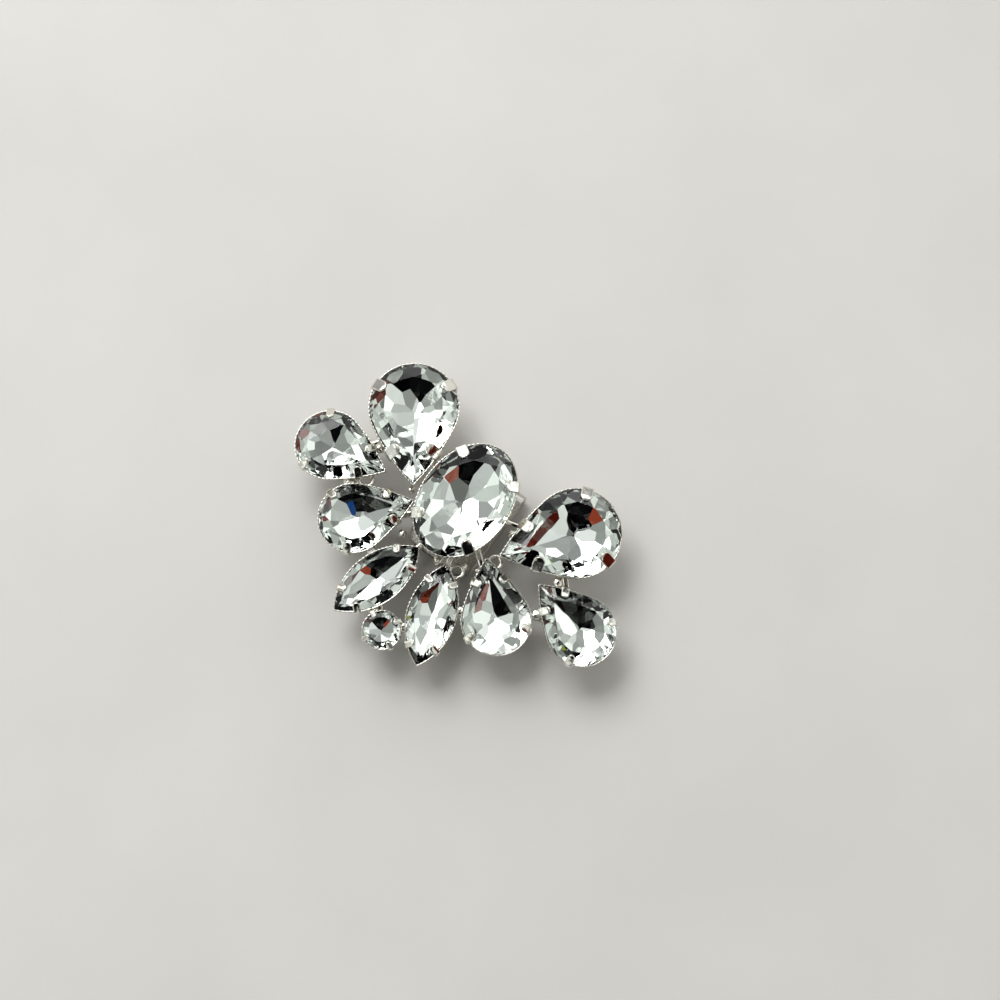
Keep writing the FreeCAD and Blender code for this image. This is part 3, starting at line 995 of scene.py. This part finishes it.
@dataclass
class Backbone:
    """Bars, post, rings and solder that hold the cups together. Sizes are in mm.

    Args:
        plate: Material of the metal.
        bar_corner: Radius of the bars' edges.
        post_radius: Radius of the post below the middle cup.
        ring_radius: Radius of the rings, to the middle of their wire.
        ring_wire: Radius of the wire.
        ring_height: Height of the rings over the surface.
        rings: Places of the rings.
        joint_size: Half sizes of the solder between two rims.
        joint_drop: How far it lies below the girdles.
        beads: Loose lumps of solder under the middle cup: place, height and half size.
        bead_flatness: Height of a loose lump as a share of its width.
        lump_depth: How uneven the solder is, as a share of its size.
        lump_scale: Dents and swellings over half a lump's width.
        rim_steps: Points of a rim that are tried for its narrowest gap.
    """

    plate: bpy.types.Material
    bar_corner: float = 0.3
    post_radius: float = 3.8
    ring_radius: float = 0.95
    ring_wire: float = 0.3
    ring_height: float = 6.5
    rings: tuple[tuple[float, float], ...] = ((-14.6, -6.0), (4.2, -9.0), (7.9, -4.6))
    joint_size: tuple[float, float, float] = (0.75, 0.75, 0.5)
    joint_drop: float = 0.7
    beads: tuple[tuple[float, float, float, float], ...] = (
        (5.4, -10.7, 6.6, 0.55),
        (4.6, -7.8, 6.2, 0.6),
        (6.6, -6.9, 6.3, 0.5),
        (1.0, -9.4, 6.0, 0.7),
        (-5.6, -9.2, 6.2, 0.6),
        (-8.4, -3.2, 6.2, 0.6),
        (7.4, 0.2, 6.3, 0.6),
        (-3.0, -10.2, 6.1, 0.5),
    )
    bead_flatness: float = 0.7
    lump_depth: float = 0.25
    lump_scale: float = 1.7
    rim_steps: int = 120

    def bar(self, mesh: bmesh.types.BMesh, first: Vector, second: Vector) -> None:
        """Add a bar with rolled edges.

        Args:
            mesh: Mesh to add it to.
            first: Middle of one end.
            second: Middle of the other end.
        """
        heading = (second - first).normalized()
        side = Vector((heading.y, -heading.x, 0))

        def end(place: Vector) -> Section:
            def at(share: float) -> Vector:
                flat = round_box(share, BAR_THICK, BAR_THICK, self.bar_corner)
                return place + side * flat.x + Vector((0, 0, flat.y))

            return at

        closed_body(mesh, BOX_POINTS, [end(first), end(second)])

    def post(self, mesh: bmesh.types.BMesh) -> None:
        """Add the post below the raised middle cup."""
        place = PLACES["oval_stone"]
        low = BACK_HEIGHT
        top = BACK_HEIGHT + BAR_THICK + place.rise

        def ring(radius: float, height: float) -> Section:
            middle = place.middle(height)
            return lambda share: middle + radius * Vector(
                (math.cos(share * TURN), math.sin(share * TURN), 0)
            )

        radius = self.post_radius
        # Radius and height: a rolled foot, a slight waist and a rolled top
        levels = [
            (radius - 0.3, low),
            (radius - 0.08, low + 0.08),
            (radius, low + 0.3),
            (radius - 0.35, (low + top) / 2),
            (radius, top - 0.1),
            (radius - 0.1, top),
        ]
        closed_body(mesh, 64, [ring(*level) for level in levels])

    def ring(self, mesh: bmesh.types.BMesh, across: float, along: float) -> None:
        """Add a flat wire ring by spinning a circle about its middle.

        Args:
            mesh: Mesh to add it to.
            across: Place along X, in mm.
            along: Place along Y, in mm.
        """
        middle = Vector((across, along, self.ring_height)) - MIDDLE
        turn = Matrix.Rotation(math.pi / 2, 4, "X")
        start = Matrix.Translation(middle + Vector((self.ring_radius, 0, 0))) @ turn
        circle = bmesh.ops.create_circle(mesh, radius=self.ring_wire, segments=12, matrix=start)
        edges = list({edge for vert in circle["verts"] for edge in vert.link_edges})
        bmesh.ops.spin(
            mesh,
            geom=circle["verts"] + edges,
            cent=middle,
            axis=(0, 0, 1),
            angle=TURN,
            steps=32,
            use_merge=True,
        )

    def bead(self, mesh: bmesh.types.BMesh, place: Vector, size: Vector) -> None:
        """Add a lump of solder.

        Args:
            mesh: Mesh to add it to.
            place: Its middle.
            size: Its half sizes.
        """
        verts = bmesh.ops.create_icosphere(mesh, subdivisions=3, radius=1.0)["verts"]
        for vert in verts:
            lump = 1 + self.lump_depth * noise.noise(vert.co * self.lump_scale + place)
            vert.co = place + Vector(a * b * lump for a, b in zip(vert.co, size))

    def rim_points(self, name: str) -> list[Vector]:
        """Points round the rim of a stone's cup.

        Args:
            name: Name of the stone.
        """
        place = PLACES[name]
        outline = CUTS[place.cut].outline
        matrix = place.matrix()
        grow = STONE_GAP + CUP_WALL
        shares = (step / self.rim_steps for step in range(self.rim_steps))
        return [matrix @ outline.at(share, grow) for share in shares]

    def between(self, first: str, second: str) -> Vector:
        """The middle of the narrowest gap between two rims."""
        pairs = [(a, b) for a in self.rim_points(first) for b in self.rim_points(second)]
        near, far = min(pairs, key=lambda pair: (pair[0] - pair[1]).length)
        return (near + far) / 2

    def build(self) -> list[bpy.types.Object]:
        """Make the bars, the rings and the solder."""
        mesh = bmesh.new()
        height = BACK_HEIGHT + BAR_THICK / 2
        for first, second, _ in JOINS:
            self.bar(mesh, PLACES[first].middle(height), PLACES[second].middle(height))
        self.post(mesh)
        bars = hand_over(mesh, "back_bars", [self.plate], smooth=True)
        mesh = bmesh.new()
        for across, along in self.rings:
            self.ring(mesh, across, along)
        for first, second, soldered in JOINS:
            if soldered:
                place = self.between(first, second) - Vector((0, 0, self.joint_drop))
                self.bead(mesh, place, Vector(self.joint_size))
        for across, along, height, size in self.beads:
            place = Vector((across, along, height)) - MIDDLE
            self.bead(mesh, place, Vector((size, size, size * self.bead_flatness)))
        joints = hand_over(mesh, "rings_and_solder", [self.plate], smooth=True)
        for made in (bars, joints):
            fit_in(made, ("setting_frame",), Slot.PLATE)
        return [bars, joints]


@dataclass
class SpringClip:
    """The folded spring strip behind the ornament, which grips an edge in its slot.

    Args:
        steel: Material of the strip.
        wide: Its width, in mm.
        long: Its length from the mouth to the fold.
        sheet: Its thickness.
        slot: Height of the slot.
        fold: Place of the fold's outside on Y.
        corner: Radius of the corners at the mouth.
        edge: Radius of its edges.
        fold_steps: Steps round the fold.
        corner_step: Angle between the points of a corner, in degrees.
    """

    steel: bpy.types.Material
    wide: float = 11.0
    long: float = 15.5
    sheet: float = 0.7
    slot: float = 1.6
    fold: float = 6.6
    corner: float = 2.0
    edge: float = 0.2
    fold_steps: int = 12
    corner_step: int = 15

    def path(self) -> list[tuple[Vector, float]]:
        """Middle line of the strip as places on Y and Z, with the strip's width at each."""
        bend = (self.sheet + self.slot) / 2
        outer = self.sheet + self.slot / 2
        mouth = self.fold - self.long
        start = self.fold - outer
        leaf = []
        # The corners of the free ends are round
        for angle in range(0, 90 + self.corner_step, self.corner_step):
            left = math.radians(angle)
            along = mouth + self.corner * (1 - math.cos(left))
            leaf.append((along, self.wide - 2 * self.corner * (1 - math.sin(left))))
        points = [(Vector((y, self.sheet / 2)), wide) for y, wide in leaf]
        for step in range(self.fold_steps + 1):
            angle = -math.pi / 2 + math.pi * step / self.fold_steps
            place = Vector((start + bend * math.cos(angle), outer + bend * math.sin(angle)))
            points.append((place, self.wide))
        points += [(Vector((y, 2 * outer - self.sheet / 2)), wide) for y, wide in reversed(leaf)]
        return points

    def build(self) -> bpy.types.Object:
        """Make the strip."""
        points = self.path()

        def section(index: int) -> Section:
            place, wide = points[index]
            across = across_line(points, index)

            def at(share: float) -> Vector:
                flat = round_box(share, wide, self.sheet, self.edge)
                here = place + across * flat.y
                return Vector((flat.x, here.x, here.y)) - MIDDLE

            return at

        mesh = bmesh.new()
        closed_body(mesh, BOX_POINTS, [section(index) for index in range(len(points))])
        made = hand_over(mesh, "spring_clip", [self.steel], smooth=True)
        fit_in(made, ("shoe_clip",), Slot.STEEL)
        return made


# Camera, lights and floor


def facing(azimuth: float, elevation: float) -> Vector:
    """Direction from the object towards a viewer.

    Args:
        azimuth: Angle round the object, 0 from -Y and 90 from +X, in degrees.
        elevation: Angle over the horizon, in degrees.
    """
    around, above = math.radians(azimuth), math.radians(elevation)
    flat = math.cos(above)
    return Vector((math.sin(around) * flat, -math.cos(around) * flat, math.sin(above)))


@dataclass(frozen=True)
class Viewpoint:
    """The photograph's camera.

    Args:
        azimuth: Angle round the object, in degrees.
        elevation: Angle over the horizon, in degrees.
        distance: Distance to the point looked at, in mm.
        target: Point looked at, in mm.
        frame_width: Width of the picture at that point, in mm.
        sensor: Width of the camera's sensor, in mm.
    """

    azimuth: float = 36.7
    elevation: float = 80.0
    distance: float = 480.0
    target: tuple[float, float, float] = (1.94, 9.23, 7.5)
    frame_width: float = 146.6
    sensor: float = 36.0

    def build(self) -> bpy.types.Object:
        """Make the camera and let the scene use it."""
        lens = bpy.data.cameras.new("camera")
        lens.sensor_width = self.sensor
        lens.lens = self.sensor * self.distance / self.frame_width
        lens.clip_start = 0.01
        camera = bpy.data.objects.new("camera", lens)
        towards = facing(self.azimuth, self.elevation)
        camera.location = (Vector(self.target) + towards * self.distance) * MM
        camera.rotation_euler = (math.radians(90 - self.elevation), 0, math.radians(self.azimuth))
        bpy.context.scene.collection.objects.link(camera)
        bpy.context.scene.camera = camera
        return camera


@dataclass(frozen=True)
class Card:
    """A part of the studio's walls and ceiling with its own brightness.

    Args:
        azimuth: Its direction round the object, in degrees.
        elevation: Its direction over the horizon, in degrees.
        radius: Half its angle, in degrees.
        soft: Width of its soft edge, in degrees.
        colour: Its sRGB colour.
        strength: Its brightness.
    """

    azimuth: float
    elevation: float
    radius: float
    soft: float
    colour: str
    strength: float


@dataclass(frozen=True)
class Studio:
    """Plain soft light over a pale floor, with a dark front so that the facets have contrast.

    Args:
        walls: Parts of the walls. A later one covers those before it.
        room: Colour of the walls elsewhere.
        patch_scale: Patches of uneven brightness in one radian.
        patch_range: Their least and greatest brightness.
        patch_steps: Steps of brightness between them.
        camera_view: What the camera sees past the floor.
        floor_half: Half the floor's width, in mm.
    """

    walls: tuple[Card, ...] = (
        # Pale walls: left, behind, right and front left
        Card(262, 46, 46, 40, "#FFFFFF", 1.3),
        Card(250, 50, 15, 8, "#FFFFFF", 2.0),
        Card(205, 24, 26, 20, "#FFFFFF", 1.15),
        Card(127, 35, 30, 24, "#E2E4E2", 1.0),
        Card(307, 28, 24, 16, "#EDF1EC", 1.1),
        # Dark front, low and then higher
        Card(28, 34, 14, 4, "#0B0C0D", 1.0),
        Card(60, 36, 16, 4, "#0B0C0D", 1.0),
        Card(354, 51, 11, 3, "#060607", 1.0),
        Card(16, 52, 15, 3, "#060607", 1.0),
        Card(50, 53, 14, 3, "#060607", 1.0),
        # Red-brown patches
        Card(82, 48, 6, 2, "#6A2D1E", 1.0),
        Card(100, 20, 14, 3, "#7E2819", 1.0),
        Card(348, 48, 3, 1, "#6E2E1E", 1.0),
        # Dark ceiling, so that the tables don't mirror light over the facets
        Card(217, 82, 19, 5, "#0A0B0D", 1.0),
        # A blue and a yellow-green spark
        Card(60, 62, 2.5, 1, "#2A62B8", 1.2),
        Card(150, 60, 2.5, 1, "#D9E46A", 1.2),
    )
    room: str = "#B2B4B0"
    patch_scale: float = 4.6
    patch_range: tuple[float, float] = (0.35, 1.9)
    patch_steps: float = 4.0
    camera_view: str = "#DDDCD9"
    floor_half: float = 1500.0

    def wall_colour(
        self, tree: bpy.types.NodeTree, look: bpy.types.NodeSocket
    ) -> bpy.types.NodeSocket:
        """Colour of the walls.

        Args:
            tree: Tree of the world.
            look: Direction looked in.

        Returns:
            The colour's socket.
        """
        colour = add_node(tree, "ShaderNodeRGB").outputs[0]
        colour.default_value = linear(self.room)
        for card in self.walls:
            near = add_node(
                tree,
                "ShaderNodeVectorMath",
                {"operation": "DOT_PRODUCT", 1: facing(card.azimuth, card.elevation)},
                {0: look},
            ).outputs["Value"]
            inner = math.cos(math.radians(max(card.radius - card.soft / 2, 0.5)))
            outer = math.cos(math.radians(card.radius + card.soft / 2))
            share = add_node(
                tree,
                "ShaderNodeMapRange",
                {"interpolation_type": "SMOOTHSTEP", "From Min": outer, "From Max": inner},
                {"Value": near},
            ).outputs[0]
            bright = [channel * card.strength for channel in linear(card.colour)[:3]] + [1.0]
            colour = add_node(
                tree, "ShaderNodeMix", {"data_type": "RGBA", 7: bright}, {0: share, 6: colour}
            ).outputs[2]
        return colour

    def light_walls(self) -> None:
        """Make the world from its cards. The camera itself sees one plain pale colour."""
        world = bpy.data.worlds.new("studio")
        bpy.context.scene.world = world
        world.use_nodes = True
        tree = world.node_tree
        tree.nodes.clear()
        look = add_node(tree, "ShaderNodeTexCoord").outputs["Generated"]
        # The walls are uneven, so that no two facets mirror quite the same brightness
        cells = add_node(
            tree, "ShaderNodeTexVoronoi", {"Scale": self.patch_scale}, {"Vector": look}
        ).outputs["Color"]
        level = add_node(tree, "ShaderNodeSeparateColor", links={0: cells}).outputs[0]
        low, high = self.patch_range
        uneven = add_node(
            tree,
            "ShaderNodeMapRange",
            {
                "interpolation_type": "STEPPED",
                "Steps": self.patch_steps,
                "To Min": low,
                "To Max": high,
            },
            {"Value": level},
        ).outputs[0]
        colour = add_node(
            tree,
            "ShaderNodeMix",
            {"data_type": "RGBA", "blend_type": "MULTIPLY", 0: 1.0},
            {6: self.wall_colour(tree, look), 7: uneven},
        ).outputs[2]
        lit = add_node(tree, "ShaderNodeBackground", {"Strength": 1.0}, {"Color": colour})
        plain = add_node(tree, "ShaderNodeBackground", {"Color": linear(self.camera_view)})
        seen = add_node(tree, "ShaderNodeLightPath").outputs["Is Camera Ray"]
        links = {0: seen, 1: lit.outputs[0], 2: plain.outputs[0]}
        both = add_node(tree, "ShaderNodeMixShader", links=links)
        add_node(tree, "ShaderNodeOutputWorld", links={"Surface": both.outputs[0]})

    def softbox(
        self, name: str, azimuth: float, elevation: float, far: float, wide: float, watts: float
    ) -> None:
        """Add a square soft light that faces the object.

        Args:
            name: Name of the light.
            azimuth: Its direction round the object, in degrees.
            elevation: Its direction over the horizon, in degrees.
            far: Its distance, in metres.
            wide: Its width, in metres.
            watts: Its power.
        """
        data = bpy.data.lights.new(name, "AREA")
        data.size = wide
        data.energy = watts
        light = bpy.data.objects.new(name, data)
        light.location = facing(azimuth, elevation) * far
        light.rotation_euler = (math.radians(90 - elevation), 0, math.radians(azimuth))
        bpy.context.scene.collection.objects.link(light)

    def floor(self) -> bpy.types.Object:
        """Lay a plain pale floor."""
        mesh = bmesh.new()
        bmesh.ops.create_grid(mesh, x_segments=1, y_segments=1, size=self.floor_half)
        made = hand_over(mesh, "floor", [PaintedBoard().build()], smooth=False)
        return made

    def build(self) -> None:
        """Make the floor, the walls' light and the softbox."""
        self.floor()
        self.light_walls()
        self.softbox("back_softbox", azimuth=245, elevation=52, far=0.7, wide=0.4, watts=3.0)
        bpy.context.scene.view_settings.view_transform = "Standard"


def main() -> None:
    """Build the camera, the studio and every piece in order."""
    logging.basicConfig(level=logging.INFO, format="%(name)s %(message)s")
    Viewpoint().build()
    Studio().build()
    glass, foil = PressedGlass().build(), SilverFoil().build()
    plate, steel = SilverPlate().build(), ClipSteel().build()
    for name, place in PLACES.items():
        CutStone(name, place, glass, foil).build()
        ClawCup(name, place, plate).build()
    Backbone(plate).build()
    SpringClip(steel).build()


if __name__ == "__main__":
    main()
